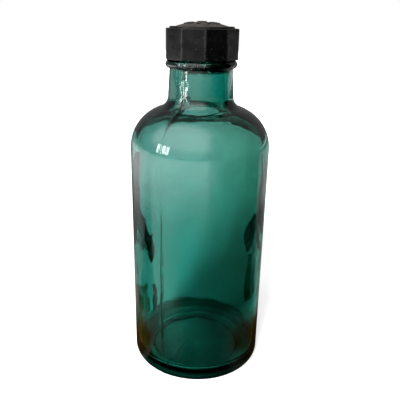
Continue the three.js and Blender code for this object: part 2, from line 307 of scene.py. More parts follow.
def skin(name, rings):
    """A closed mesh through rings of points. The first and the last ring hold one point, on the axis."""
    vertices = [point for ring in rings for point in ring]
    count = len(rings[1])
    faces = [(0, 1 + (j + 1) % count, 1 + j) for j in range(count)]
    for i in range(len(rings) - 3):
        low = 1 + i * count
        for j in range(count):
            after = (j + 1) % count
            faces.append((low + j, low + after, low + count + after, low + count + j))
    last = len(vertices) - 1
    faces += [(last, last - count + j, last - count + (j + 1) % count) for j in range(count)]
    mesh = bpy.data.meshes.new(name)
    mesh.from_pydata(vertices, [], faces)
    mesh.polygons.foreach_set("use_smooth", [True] * len(mesh.polygons))
    mesh.update()
    piece = bpy.data.objects.new(name, mesh)
    bpy.context.scene.collection.objects.link(piece)
    return piece


def thread_swell(angle, height, start, start_turn, turns, half):
    """How far a helical ridge swells at an angle and a height: 0 off the ridge, 1 on its crest."""
    most = 0.0
    run_out = 0.12
    for whole in range(-1, 3):
        at = (angle % FULL_TURN) / FULL_TURN + whole
        to_end = min(at - start_turn, start_turn + turns - at) / run_out
        if to_end <= 0:
            continue
        share = math.sin(QUARTER * min(to_end, 1.0))
        off = (height - start - THREAD_PITCH * at) / (half * (0.4 + 0.6 * share))
        if abs(off) < 1:
            most = max(most, share * math.cos(off * QUARTER))
    return most


def shoulder_join(middle, reach, rise, fillet, neck_radius, start):
    """Angle and height at which the shoulder's curve hands over to the fillet, and their stretch in height."""
    share = (neck_radius + fillet - middle) / (reach + fillet)
    if not 0 < share < 1:
        raise ValueError("The shoulder doesn't meet the neck with these sizes")
    angle = math.acos(share)
    stretch = rise / reach
    return angle, stretch, start + stretch * (reach + fillet) * math.sin(angle)


def outside_outline(s):
    """The bottle's outside from the heel to the lip."""
    middle = s.body_radius - s.shoulder_reach
    angle, stretch, neck = shoulder_join(
        middle, s.shoulder_reach, s.shoulder_rise, s.neck_fillet, s.neck_foot_radius, s.shoulder_start
    )
    heel = ellipse((s.foot_radius - s.heel_radius, s.heel_radius), s.heel_radius, s.heel_radius, -QUARTER, 0, 14)
    shoulder = ellipse((middle, s.shoulder_start), s.shoulder_reach, s.shoulder_rise, 0, angle, 26)
    fillet = ellipse(
        (s.neck_foot_radius + s.neck_fillet, neck),
        s.neck_fillet,
        s.neck_fillet * stretch,
        angle + math.pi,
        math.pi,
        14,
    )[1:]
    bead = ellipse(
        (s.neck_top_radius, s.bead_height), s.bead_radius - s.neck_top_radius, s.bead_half, -QUARTER, QUARTER, 18
    )
    finish_foot = (s.finish_radius, bead[-1][1] + 0.5 * MM)
    lip = ellipse(
        (s.finish_radius - s.lip_round, s.lip_height - s.lip_round), s.lip_round, s.lip_round, 0, QUARTER, 6
    )
    return (
        heel
        + straight(heel[-1], shoulder[0], 50)
        + shoulder
        + fillet
        + straight(fillet[-1], bead[0], 24)
        + bead
        + [(s.finish_radius + 0.5 * MM, bead[-1][1] + 0.01 * MM), finish_foot]
        + straight(finish_foot, lip[0], 34)
        + lip
    )


def inside_outline(s):
    """The bottle's inside from the lip to the edge of the floor."""
    reach = s.shoulder_reach - s.wall
    rise = s.shoulder_rise - s.shoulder_wall
    middle = s.body_radius - s.shoulder_reach
    fillet = s.neck_fillet + s.wall
    neck_radius = s.bore_radius + 0.6 * MM
    angle, stretch, neck = shoulder_join(middle, reach, rise, fillet, neck_radius, s.shoulder_start)
    lip = ellipse(
        (s.bore_radius + s.lip_round, s.lip_height - s.lip_round), s.lip_round, s.lip_round, QUARTER, math.pi, 6
    )
    curve = ellipse((neck_radius + fillet, neck), fillet, fillet * stretch, math.pi, angle + math.pi, 16)
    shoulder = ellipse((middle, s.shoulder_start), reach, rise, angle, 0, 24)[1:]
    heel = ellipse(
        (s.foot_radius - s.wall - s.inner_heel, s.floor_height + s.inner_heel),
        s.inner_heel,
        s.inner_heel,
        0,
        -QUARTER,
        14,
    )
    return (
        lip + straight(lip[-1], curve[0], 16) + curve + shoulder + straight(shoulder[-1], heel[0], 50) + heel
    )


def dish(radius, middle_height, edge_height, steps):
    """A shallow dish from its middle to its edge, without the middle point."""
    points = []
    for i in range(1, steps + 1):
        share = i / steps
        points.append((radius * share, middle_height + (edge_height - middle_height) * share**2))
    return points


def seam_angles(s):
    """The directions of the two mould seams."""
    front = -QUARTER - s.seam_turn
    return (front, front + math.pi)


def glass_columns(s):
    """Angles of the mesh's columns, close together at the seams."""
    around_count = 240
    fine_reach = math.radians(2.0)
    fine_count = 20
    seams = seam_angles(s)
    angles = [FULL_TURN * i / around_count for i in range(around_count)]
    kept = [a for a in angles if min(abs(nearest_turn(a - seam)) for seam in seams) > fine_reach]
    for seam in seams:
        for i in range(-fine_count, fine_count + 1):
            kept.append((seam + fine_reach * i / fine_count) % FULL_TURN)
    return sorted(kept)


def seam_lift(s, angle, distance, height):
    """How far the outside stands proud at the seams: a thin fin, and a step between the mould's halves."""
    top = s.bead_height + s.bead_half
    rough_scale, step_rise, step_fade = 9 * MM, 0.5 * MM, 6 * MM
    fade = smooth_step(height / (2 * MM)) * smooth_step((top - height) / (0.6 * MM))
    lift = 0.0
    for seam in seam_angles(s):
        off = nearest_turn(angle - seam) * distance
        unevenness = 0.75 + 0.5 * noise.noise(Vector((height / rough_scale, seam, 3.0)))
        full = 1.0 if seam < -QUARTER else 0.5
        fin = math.exp(-((off / (s.seam_half * 0.6)) ** 2)) * s.seam_height * unevenness * full
        step = s.seam_step * smooth_step(off / step_rise) * math.exp(-max(off, 0.0) / step_fade)
        lift += fin + step
    return lift * fade


def wave(point, scale, seed):
    """Smooth unevenness between minus and plus one, stretched upwards as glass flows in a mould."""
    return noise.noise(Vector((point.x / scale, point.y / scale, point.z / (scale * 1.8) + seed)))


def glass_rings(s):
    """Rings of points for the bottle, from the middle underneath, up the outside and down inside."""
    columns = glass_columns(s)
    under = dish(s.standing_ring - s.push_up_edge, s.push_up_rise, s.push_up_edge, 12)
    edge = ellipse((s.standing_ring - s.push_up_edge, 0), s.push_up_edge, s.push_up_edge, QUARTER, 0, 5)[1:]
    floor_edge = inside_outline(s)[-1]
    floor = dish(floor_edge[0], s.floor_height + s.floor_rise, s.floor_height, 18)[-2::-1]
    outer_scale, inner_scale, fine_scale = 22 * MM, 19 * MM, 8 * MM
    floor_scale, floor_swell = 9 * MM, 0.25 * MM
    rings = [[Vector((0, 0, s.push_up_rise))]]
    rings += turned_rings(under + edge, columns)
    for distance, height in outside_outline(s):
        in_finish = height > s.bead_height + s.bead_half + 0.4 * MM
        ring = []
        for a in columns:
            base = around(a, distance, height)
            if in_finish:
                swell = thread_swell(a, height, s.thread_start, 0.0, s.thread_turns, s.thread_half)
                here = distance + s.thread_height * swell
            else:
                calm = smooth_step(height / (6 * MM))
                here = distance + s.wave * wave(base, outer_scale, 0.0) * calm + seam_lift(s, a, distance, height)
            ring.append(around(a, here, height))
        rings.append(ring)
    for distance, height in inside_outline(s):
        calm = smooth_step((s.lip_height - height) / (14 * MM)) * smooth_step((height - 5 * MM) / (12 * MM))
        ring = []
        for a in columns:
            base = around(a, distance, height)
            swell = wave(base, inner_scale, 7.0) + 0.35 * wave(base, fine_scale, 21.0)
            ring.append(around(a, distance + s.inner_wave * calm * swell, height))
        rings.append(ring)
    for distance, height in floor:
        ring = []
        for a in columns:
            swell = floor_swell * wave(around(a, distance, height), floor_scale, 40.0)
            ring.append(around(a, distance, height + swell))
        rings.append(ring)
    rings.append([Vector((0, 0, s.floor_height + s.floor_rise))])
    return rings


def corner_angle(s, angle):
    """The angle from a direction to the nearest corner between two flats."""
    side = FULL_TURN / s.sides
    return abs((angle + QUARTER - s.cap_turn + side / 2) % side - side / 2)


def flats_radius(s, angle, inset):
    """Distance of the ten-sided outline from the axis in one direction, with rounded corners."""
    half = math.pi / s.sides
    apothem = s.corner_radius * math.cos(half) - inset
    bend = s.corner_round
    middle = (apothem - bend) / math.cos(half)
    off = corner_angle(s, angle)
    if off < math.atan2(bend * math.sin(half), middle + bend * math.cos(half)):
        return middle * math.cos(off) + math.sqrt(bend**2 - (middle * math.sin(off)) ** 2)
    return apothem / math.cos(half - off)


def cap_columns(s):
    """Angles of the cap's columns, close together at its corners."""
    side = FULL_TURN / s.sides
    corner_degrees = (0.0, 0.17, 0.34, 0.5, 0.68, 0.85, 1.2, 1.8)
    flat_steps = 10
    angles = []
    for k in range(s.sides):
        corner = k * side - QUARTER + s.cap_turn
        near = [math.radians(step) for step in corner_degrees]
        wide = [near[-1] + (side / 2 - near[-1]) * i / flat_steps for i in range(1, flat_steps + 1)]
        offsets = near + wide
        angles += [corner + off for off in offsets] + [corner - off for off in offsets[1:-1]]
    return sorted(a % FULL_TURN for a in angles)


def mark_height(s, point):
    """How far the dome's raised dot and bars stand out over a point."""
    distance = math.hypot(point.x, point.y)
    soft = 0.3 * MM
    inside = s.dot_width / 2 - distance
    side = FULL_TURN / s.sides
    first = -QUARTER + s.cap_turn + side / 2
    off = (math.atan2(point.y, point.x) - first + side / 2) % side - side / 2
    along = distance * math.cos(off) - s.bar_middle
    across = distance * math.sin(off)
    straight_half = (s.bar_length - s.bar_width) / 2
    past = max(abs(along) - straight_half, 0.0)
    inside = max(inside, s.bar_width / 2 - math.hypot(past, across))
    return s.mark_stand * smooth_step(inside / soft)


def cap_rings(s, thread_start):
    """Rings of points for the cap, from the ceiling's middle, down inside, up the flats and over the dome."""
    columns = cap_columns(s)
    corner = 0.4 * MM
    inside = [(d, s.ceiling) for d in (s.skirt_radius * 0.4, s.skirt_radius * 0.8, s.skirt_radius - corner)]
    inside += ellipse((s.skirt_radius - corner, s.ceiling - corner), corner, corner, QUARTER, 0, 4)[1:]
    rings = [[Vector((0, 0, s.ceiling))], *turned_rings(inside, columns)]
    wall_steps = 44
    for i in range(1, wall_steps + 1):
        height = s.ceiling - corner + (s.foot + s.chamfer - s.ceiling + corner) * i / wall_steps
        ring = []
        for a in columns:
            swell = thread_swell(
                a, height, thread_start - s.thread_drop, s.thread_from, s.thread_turns, s.thread_half
            )
            ring.append(around(a, s.skirt_radius - s.thread_height * swell, height))
        rings.append(ring)
    rings.append([around(a, s.skirt_radius + s.chamfer, s.foot) for a in columns])
    for inset, height in flats_profile(s):
        rings.append([around(a, flats_radius(s, a, inset), height) for a in columns])
    step = 0.25 * MM
    ledge = [(s.step_radius + step, s.flats_top), (s.step_radius, s.flats_top + step * 0.4)]
    ledge += ellipse((s.step_radius - step, s.step_top - step), step, step, 0, QUARTER, 4)
    rings += turned_rings(ledge, columns)
    rise = s.dome_top - s.step_top
    sphere = (s.dome_radius**2 + rise**2) / (2 * rise)
    dome_steps = 56
    for i in range(dome_steps, 0, -1):
        distance = s.dome_radius * i / dome_steps
        height = s.dome_top - sphere + math.sqrt(sphere**2 - distance**2)
        ring = []
        for a in columns:
            point = around(a, distance, height)
            point.z += mark_height(s, point)
            ring.append(point)
        rings.append(ring)
    rings.append([Vector((0, 0, s.dome_top + s.mark_stand))])
    return rings


def flats_profile(s):
    """Inset and height along a flat, from its foot to its top, with both edges rounded."""
    bend = s.edge_round
    foot = [(-x, z) for x, z in ellipse((-bend, s.foot + bend), bend, bend, -QUARTER, 0, 5)]
    top = [(-x, z) for x, z in ellipse((-bend, s.flats_top - bend), bend, bend, 0, QUARTER, 5)]
    return foot + straight(foot[-1], top[0], 6) + top


def disc_rings(radius, foot, top, bend, dent=None):
    """Rings of points for a punched disc with rounded edges. dent says how far its underside is pressed in."""
    columns, under_steps, top_steps = 128, 40, 8
    flat = radius - bend
    outline = []
    for i in range(1, under_steps):
        distance = flat * i / under_steps
        outline.append((distance, foot + (dent(distance) if dent else 0.0)))
    outline += ellipse((flat, foot + bend), bend, bend, -QUARTER, 0, 4)
    outline += ellipse((flat, top - bend), bend, bend, 0, QUARTER, 4)
    outline += [(flat * i / top_steps, top) for i in range(top_steps - 1, 0, -1)]
    angles = [FULL_TURN * j / columns for j in range(columns)]
    return [[Vector((0, 0, foot))], *turned_rings(outline, angles), [Vector((0, 0, top))]]


class Nodes:
    """A short way to add nodes and links to one node tree."""

    def __init__(self, tree):
        self.tree = tree

    def add(self, kind, **settings):
        """A new node with its settings."""
        node = self.tree.nodes.new(kind)
        for key, value in settings.items():
            setattr(node, key, value)
        return node

    def feed(self, socket, value):
        """Links a socket to an output, or sets its number or colour."""
        if isinstance(value, bpy.types.NodeSocket):
            self.tree.links.new(value, socket)
        elif hasattr(value, "__len__"):
            socket.default_value = (*value[:3], 1.0) if socket.type == "RGBA" else tuple(value)
        else:
            socket.default_value = value

    def feed_in_order(self, node, *values):
        """Feeds a node's first sockets in their order, and gives its outputs."""
        for socket, value in zip(node.inputs, values, strict=False):
            self.feed(socket, value)
        return node.outputs

    def feed_by_name(self, node, values):
        """Feeds a node's sockets by their names, with underscores for spaces, and gives its outputs."""
        for name, value in values.items():
            self.feed(node.inputs[name.replace("_", " ").title()], value)
        return node.outputs

    def math(self, operation, *values, clamp=False):
        """The result of one operation on numbers."""
        return self.feed_in_order(self.add("ShaderNodeMath", operation=operation, use_clamp=clamp), *values)[0]

    def times(self, first, *others):
        """The product of two or more values."""
        for other in others:
            first = self.math("MULTIPLY", first, other)
        return first

    def plus(self, first, *others):
        """The sum of two or more values."""
        for other in others:
            first = self.math("ADD", first, other)
        return first

    def rest(self, share):
        """What a share leaves of 1."""
        return self.math("SUBTRACT", 1.0, share)

    def either(self, first, second):
        """The greater of two values."""
        return self.math("MAXIMUM", first, second)

    def size(self, value):
        """A value without its sign."""
        return self.math("ABSOLUTE", value)

    def vector(self, operation, output, *values):
        """The result of one operation on vectors."""
        return self.feed_in_order(self.add("ShaderNodeVectorMath", operation=operation), *values)[output]

    def dot(self, first, second):
        """The dot product of two vectors."""
        return self.vector("DOT_PRODUCT", "Value", first, second)

    def flattened(self, place):
        """A place with its height taken away."""
        return self.vector("MULTIPLY", "Vector", place, (1.0, 1.0, 0.0))

    def from_axis(self, place):
        """How far a place is from the bottle's axis."""
        return self.vector("LENGTH", "Value", self.flattened(place))

    def parts(self, kind, value):
        """The three numbers of a place or a colour."""
        return tuple(self.feed_in_order(self.add("ShaderNodeSeparate" + kind), value))

    def mix(self, share, first, second, blend="MIX"):
        """A colour between two colours, or the first one dimmed by the second."""
        node = self.add("ShaderNodeMix", data_type="RGBA", blend_type=blend)
        for index, value in zip(MIX_INPUTS, (share, first, second), strict=True):
            self.feed(node.inputs[index], value)
        return node.outputs[MIX_OUTPUT]

    def layers(self, ground, *layers):
        """A colour with others laid over it, each given as its share and its shade."""
        for share, shade in layers:
            ground = self.mix(share, ground, shade)
        return ground

    def spread(self, value, low, high, to_low=0.0, to_high=1.0):
        """A value moved from one range to another, smoothly and without passing its ends."""
        node = self.add("ShaderNodeMapRange", interpolation_type="SMOOTHSTEP")
        return self.feed_in_order(node, value, low, high, to_low, to_high)[0]

    def between(self, value, low, full_from, full_to, high):
        """1 between two values, falling to 0 at the two outer ones."""
        return self.times(self.spread(value, low, full_from), self.spread(value, high, full_to))

    def towards(self, vector, heading, low, high):
        """How much a vector points in a heading: 0 at the low dot product of the two, 1 at the high one."""
        return self.spread(self.dot(vector, heading), low, high)

    def texture(self, kind, place, settings=None, **values):
        """The outputs of a texture over a place. settings are the node's, and values are its inputs' by name."""
        node = self.add("ShaderNodeTex" + kind, **(settings or {}))
        return self.feed_by_name(node, {"vector": place, **values})

    def group(self, tree, **values):
        """The outputs of a shared group, with its inputs set by name."""
        return self.feed_by_name(self.add("ShaderNodeGroup", node_tree=tree), values)

    def bump(self, height, distance, strength):
        """The surface's normal, bent by a height."""
        values = {"height": height, "distance": distance, "strength": strength}
        return self.feed_by_name(self.add("ShaderNodeBump"), values)[0]

    def emission(self, shade, strength):
        """A shader that glows."""
        return self.feed_in_order(self.add("ShaderNodeEmission"), shade, strength)[0]

    def fade(self, share, first, second):
        """A shader between two shaders."""
        return self.feed_in_order(self.add("ShaderNodeMixShader"), share, first, second)[0]

    def show(self, shader, owner="Material"):
        """Leads a shader to the output of the material or the world."""
        self.feed(self.add("ShaderNodeOutput" + owner).inputs["Surface"], shader)


def emptied(owner):
    """The nodes of a material or a world, with none in it yet."""
    owner.use_nodes = True
    owner.node_tree.nodes.clear()
    return Nodes(owner.node_tree)


def shared_group(name, inputs, outputs, fill):
    """A group that more than one material uses, built at its first use."""
    tree = bpy.data.node_groups.get(name)
    if tree is None:
        tree = bpy.data.node_groups.new(name, "ShaderNodeTree")
        tree.interface.new_socket("Place", in_out="INPUT", socket_type="NodeSocketVector")
        for label, default in inputs.items():
            socket = tree.interface.new_socket(label, in_out="INPUT", socket_type="NodeSocketFloat")
            socket.default_value = default
        for label in outputs:
            tree.interface.new_socket(label, in_out="OUTPUT", socket_type="NodeSocketFloat")
        nodes = Nodes(tree)
        fill(nodes, nodes.add("NodeGroupInput").outputs, nodes.add("NodeGroupOutput").inputs)
    return tree


def fill_mottle(nodes, inputs, outputs):
    """Soft uneven patches from 0 to 1: Cloud has large ones, and Grain fine ones."""
    fine = nodes.times(inputs["Scale"], 6.0)
    for label, scale, detail in (("Cloud", inputs["Scale"], 3.0), ("Grain", fine, 4.0)):
        noise_value = nodes.texture("Noise", inputs["Place"], scale=scale, detail=detail)["Fac"]
        nodes.feed(outputs[label], nodes.spread(noise_value, 0.3, 0.7))


def mottle(nodes, place, scale):
    """The outputs of the shared mottle, at one scale."""
    tree = shared_group("Mottle", {"Scale": 100.0}, ("Cloud", "Grain"), fill_mottle)
    return nodes.group(tree, place=place, scale=scale)


def fill_specks(nodes, inputs, outputs):
    """Small scattered spots: 1 in a spot and 0 between them. Only a share of the cells holds one."""
    cells = nodes.texture("Voronoi", inputs["Place"], scale=inputs["Scale"])
    chance, width, _ = nodes.parts("Color", cells["Color"])
    size = nodes.times(inputs["Size"], nodes.plus(width, 0.4))
    spot = nodes.math("SUBTRACT", 1.0, nodes.math("DIVIDE", cells["Distance"], size), clamp=True)
    chosen = nodes.math("LESS_THAN", chance, inputs["Share"])
    nodes.feed(outputs["Spot"], nodes.times(chosen, nodes.spread(spot, 0.0, 0.6)))


def specks(nodes, place, scale, share, size):
    """The shared specks, at one scale. share is the share of cells that hold one."""
    tree = shared_group("Specks", {"Scale": 300.0, "Share": 0.3, "Size": 0.2}, ("Spot",), fill_specks)
    return nodes.group(tree, place=place, scale=scale, share=share, size=size)["Spot"]


def new_material(name):
    """A material, its nodes, its Principled shader, its output and the place on the piece."""
    material = bpy.data.materials.new(name)
    nodes = emptied(material)
    shader = nodes.add("ShaderNodeBsdfPrincipled")
    output = nodes.add("ShaderNodeOutputMaterial")
    nodes.feed(output.inputs["Surface"], shader.outputs[0])
    place = nodes.add("ShaderNodeTexCoord").outputs["Object"]
    return material, nodes, shader.inputs, output.inputs, place


class GlassPlace:
    """Where a place on the glass lies, in the ways that its shades ask for."""

    def __init__(self, nodes, s, place):
        front = seam_angles(s)[0]
        self.place = place
        self.x, self.y, self.height = nodes.parts("XYZ", place)
        self.from_axis = nodes.from_axis(place)
        self.off_seam = nodes.size(nodes.dot(place, (-math.sin(front), math.cos(front), 0.0)))
        self.to_seam = nodes.dot(place, (math.cos(front), math.sin(front), 0.0))
        self.on_front = nodes.math("GREATER_THAN", self.to_seam, 14.5 * MM)


def seam_dirt(nodes, at):
    """Dirt that has gathered along the front seam: black at the neck's two ends, broken low on the body."""
    wide = nodes.spread(at.height, 134 * MM, 148 * MM, 0.45 * MM, 1.3 * MM)
    line = nodes.spread(at.off_seam, wide, nodes.times(wide, 0.4))
    front_half = nodes.math("GREATER_THAN", at.to_seam, 5 * MM)
    patches = nodes.spread(mottle(nodes, at.place, scale=140.0)["Cloud"], 0.15, 0.6)
    on_body = nodes.times(nodes.spread(at.height, 82 * MM, 70 * MM), patches)
    neck_foot = nodes.between(at.height, 139 * MM, 146 * MM, 152.5 * MM, 153.5 * MM)
    neck_top = nodes.between(at.height, 164.2 * MM, 165.2 * MM, 172 * MM, 173 * MM)
    on_neck = nodes.times(nodes.either(neck_foot, neck_top), at.on_front)
    return nodes.times(line, front_half, nodes.either(on_neck, on_body))


def bend_shade(nodes, at):
    """A thin crescent of painted shade in the bend under the neck, at the front, where the bend shows dark."""
    sideways = nodes.plus(at.x, 1.5 * MM)
    off_middle = nodes.size(sideways)
    arc = nodes.times(sideways, sideways, 48.0)
    off_arc = nodes.size(nodes.math("SUBTRACT", nodes.plus(at.y, 24 * MM), arc))
    wide = nodes.spread(off_middle, 4 * MM, 12.5 * MM, 1 * MM, 0.3 * MM)
    return nodes.times(
        nodes.spread(off_arc, wide, nodes.times(wide, 0.5)),
        nodes.spread(off_middle, 13.5 * MM, 11.5 * MM),
        nodes.spread(at.height, 147.2 * MM, 147.7 * MM),
    )


def neck_lens_shade(nodes, at):
    """A lens of painted shade at the neck's foot, at the front."""
    return nodes.times(
        nodes.between(at.x, -4 * MM, -2 * MM, 9 * MM, 12 * MM),
        nodes.between(at.height, 151.9 * MM, 152.3 * MM, 154.2 * MM, 155 * MM),
        nodes.spread(mottle(nodes, at.place, scale=260.0)["Grain"], 0.0, 0.6, 0.45, 1.0),
        nodes.spread(at.y, -13 * MM, -15 * MM),
    )


def neck_pucker(nodes, at):
    """Small puckers in the neck's skin beside the front seam, which break up the window's glint."""
    saw = {"bands_direction": "Z", "wave_profile": "SAW"}
    folds = nodes.texture("Wave", at.place, saw, scale=150.0, distortion=5.0, detail=1.0, detail_scale=2.5)
    return nodes.times(
        nodes.spread(at.off_seam, 5 * MM, 3 * MM),
        at.on_front,
        nodes.between(at.height, 151 * MM, 153 * MM, 163.5 * MM, 166 * MM),
        nodes.rest(folds["Fac"]),
    )


def bead_shade(nodes, s, at):
    """Painted shade round the front of the bead and just under it, where the glass shows dark, broken up in
    streaks.
    """
    direction = nodes.vector("NORMALIZE", "Vector", nodes.flattened(at.place))
    bead = s.bead_height
    return nodes.times(
        nodes.towards(direction, (0.45, -0.89, 0.0), 0.5, 0.6),
        nodes.between(at.height, bead - 4.6 * MM, bead - 3.2 * MM, bead + 1.6 * MM, bead + 2.6 * MM),
        nodes.spread(nodes.texture("Noise", at.place, scale=420.0)["Fac"], 0.66, 0.56),
    )


def glass_tone(nodes, s, at):
    """The glass's base colour: painted shade that deepens down the body, towards the base and at the right, painted
    shade in the heel, the bend, the neck and round the bead, and dirt along the seam.
    """
    # Painted shade: darker down the body, darker still towards the base, and darker at the right.
    tone = nodes.mix(nodes.spread(at.height, 145 * MM, 75 * MM), WHITE, s.body_painted_shade)
    tone = nodes.mix(nodes.spread(at.height, 60 * MM, 12 * MM), tone, s.base_painted_shade)
    tone = nodes.mix(nodes.spread(at.x, -8 * MM, 28 * MM), tone, s.right_painted_shade, blend="MULTIPLY")
    # Painted shade: a dark arc in the back half of the inner heel, where the curved glass shows dark.
    heel_arc_shade = nodes.times(
        nodes.spread(at.from_axis, 25 * MM, 28 * MM),
        nodes.between(at.height, 5.3 * MM, 6.3 * MM, 12.5 * MM, 15.5 * MM),
        nodes.spread(at.y, -12 * MM, 4 * MM),
    )
    in_floor = nodes.times(
        nodes.spread(at.from_axis, 30 * MM, 27 * MM),
        nodes.spread(mottle(nodes, at.place, scale=70.0)["Cloud"], 0.9, 0.1),
        nodes.spread(at.height, 11 * MM, 9 * MM),
    )
    rim = nodes.times(nodes.spread(at.from_axis, 29 * MM, 33 * MM), nodes.spread(at.height, 5 * MM, 3 * MM))
    # Painted shade over the right side of the neck.
    neck_side_shade = nodes.times(nodes.spread(at.x, 5.5 * MM, 8.5 * MM), nodes.spread(at.height, 152 * MM, 154 * MM))
    return nodes.layers(
        tone,
        (heel_arc_shade, (0.03, 0.15, 0.11)),
        (in_floor, (0.2, 0.55, 0.48)),
        (rim, (0.9, 1.0, 1.0)),
        (neck_side_shade, (0.3, 0.85, 0.86)),
        (neck_lens_shade(nodes, at), (0.1, 0.4, 0.38)),
        (bend_shade(nodes, at), (0.0, 0.012, 0.008)),
        (seam_dirt(nodes, at), (0.015, 0.018, 0.015)),
        (bead_shade(nodes, s, at), (0.02, 0.03, 0.014)),
    )


def glass_material(s):
    """Clear green glass: tinted through its depth, with ripples, seeds, puckers, dirt along the seam, and painted
    shade.
    """
    material, nodes, shader, output, place = new_material("green_glass")
    shader["Transmission Weight"].default_value = 1.0
    shader["IOR"].default_value = 1.52
    at = GlassPlace(nodes, s, place)
    nodes.feed(shader["Base Color"], glass_tone(nodes, s, at))
    ripples = mottle(nodes, place, scale=90.0)["Cloud"]
    nodes.feed(shader["Roughness"], nodes.spread(ripples, 0.2, 1.0, 0.0, 0.03))
    seeds = specks(nodes, place, scale=170.0, share=0.25, size=0.07)
    height = nodes.plus(
        nodes.times(ripples, 0.4), nodes.times(seeds, 2.5), nodes.times(neck_pucker(nodes, at), 4.0)
    )
    nodes.feed(shader["Normal"], nodes.bump(height, distance=0.12 * MM, strength=0.5))
    absorption = nodes.add("ShaderNodeVolumeAbsorption")
    absorption.inputs["Color"].default_value = (*s.tint, 1.0)
    absorption.inputs["Density"].default_value = s.density
    nodes.feed(output["Volume"], absorption.outputs[0])
    return material


def phenolic_material(s):
    """Aged black phenolic: fine wood-flour mottling, pale specks, painted highlights along the corners, and dust on
    top that doubles as painted top light.
    """
    material, nodes, shader, _, place = new_material("black_phenolic")
    shader["IOR"].default_value = 1.5
    shader["Specular IOR Level"].default_value = 0.16
    patches = mottle(nodes, place, scale=220.0)
    flecks = specks(nodes, place, scale=900.0, share=0.25, size=0.3)
    upwards = nodes.parts("XYZ", nodes.add("ShaderNodeTexCoord").outputs["Normal"])[2]
    # Dust on the faces that look up, made pale also as painted light on the top.
    dust_and_top_light = nodes.times(
        nodes.spread(upwards, 0.75, 0.97), nodes.spread(patches["Cloud"], 0.0, 0.8, 0.35, 0.85)
    )
    # Painted highlight: a lighter line along the corners between the flats.
    corner_highlight = nodes.times(
        nodes.spread(nodes.from_axis(place), s.corner_radius - 0.24 * MM, s.corner_radius - 0.1 * MM),
        nodes.spread(patches["Cloud"], 0.1, 0.6, 0.15, 0.7),
    )
    tone = nodes.layers(
        s.phenolic,
        (nodes.times(patches["Grain"], 0.6), (0.0028, 0.0027, 0.0027)),
        (nodes.times(flecks, 0.35), (0.06, 0.057, 0.055)),
        (corner_highlight, (0.02, 0.019, 0.018)),
        (dust_and_top_light, s.top_dust_and_light),
    )
    nodes.feed(shader["Base Color"], tone)
    nodes.feed(shader["Roughness"], nodes.spread(patches["Cloud"], 0.0, 1.0, 0.24, 0.4))
    height = nodes.plus(patches["Grain"], nodes.times(patches["Cloud"], 1.5))
    nodes.feed(shader["Normal"], nodes.bump(height, distance=0.03 * MM, strength=0.6))
    return material


def cork_material(s):
    """Pressed cork: pale granules with dark bark between them."""
    material, nodes, shader, _, place = new_material("cork")
    granules = nodes.texture("Voronoi", place, scale=900.0)
    patches = mottle(nodes, place, scale=500.0)
    granule_tone = nodes.spread(nodes.parts("Color", granules["Color"])[0], 0.3, 1.0)
    pits = specks(nodes, place, scale=700.0, share=0.3, size=0.3)
    tone = nodes.layers(
        s.cork,
        (nodes.times(granule_tone, patches["Grain"]), Vector(s.cork).lerp(Vector(s.bark), 0.5)),
        (pits, s.bark),
    )
    nodes.feed(shader["Base Color"], tone)
    nodes.feed(shader["Roughness"], nodes.spread(patches["Cloud"], 0.0, 1.0, 0.75, 0.95))
    height = nodes.math("SUBTRACT", nodes.times(patches["Grain"], 0.4), pits)
    nodes.feed(shader["Normal"], nodes.bump(height, distance=0.15 * MM, strength=0.8))
    return material


def paper_material(s):
    """Waxed paper: faint fibres, and a darker ring where the lip has pressed."""
    material, nodes, shader, _, place = new_material("waxed_paper")
    patches = mottle(nodes, place, scale=350.0)
    off_ring = nodes.size(nodes.math("SUBTRACT", nodes.from_axis(place), 13.6 * MM))
    ring = nodes.math("SUBTRACT", 1.0, nodes.math("DIVIDE", off_ring, 1.5 * MM), clamp=True)
    tone = nodes.layers(
        s.paper,
        (nodes.times(ring, 0.55), (0.36, 0.25, 0.13)),
        (nodes.times(patches["Cloud"], 0.3), (0.62, 0.5, 0.33)),
        (specks(nodes, place, scale=500.0, share=0.2, size=0.25), (0.3, 0.21, 0.12)),
    )
    nodes.feed(shader["Base Color"], tone)
    nodes.feed(shader["Roughness"], nodes.spread(patches["Cloud"], 0.0, 1.0, 0.35, 0.6))
    nodes.feed(shader["Normal"], nodes.bump(patches["Grain"], distance=0.03 * MM, strength=0.6))
    return material


def dress(piece, material, body, node):
    """Gives a piece its material, ties it to its body, and hides the packed part that it stands for."""
    piece.data.materials.append(material)
    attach(piece, body)
    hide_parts(node)


class BOTTLE_OT_mould_glass(bpy.types.Operator):
    """Make the moulded glass bottle with its seams, bead and thread"""

    bl_idname = "bottle.mould_glass"
    bl_label = "Mould the glass"

    def execute(self, context):
        s = context.scene.bottle_glass
        piece = skin("moulded_glass", glass_rings(s))
        dress(piece, glass_material(s), "bottle", "bottle")
        return {"FINISHED"}


class BOTTLE_OT_press_cap(bpy.types.Operator):
    """Make the ten-sided screw cap with its dome and inner thread"""

    bl_idname = "bottle.press_cap"
    bl_label = "Press the cap"

    def execute(self, context):
        s = context.scene.bottle_cap
        piece = skin("phenolic_cap", cap_rings(s, context.scene.bottle_glass.thread_start))
        dress(piece, phenolic_material(s), "cap", "screw_cap")
        return {"FINISHED"}


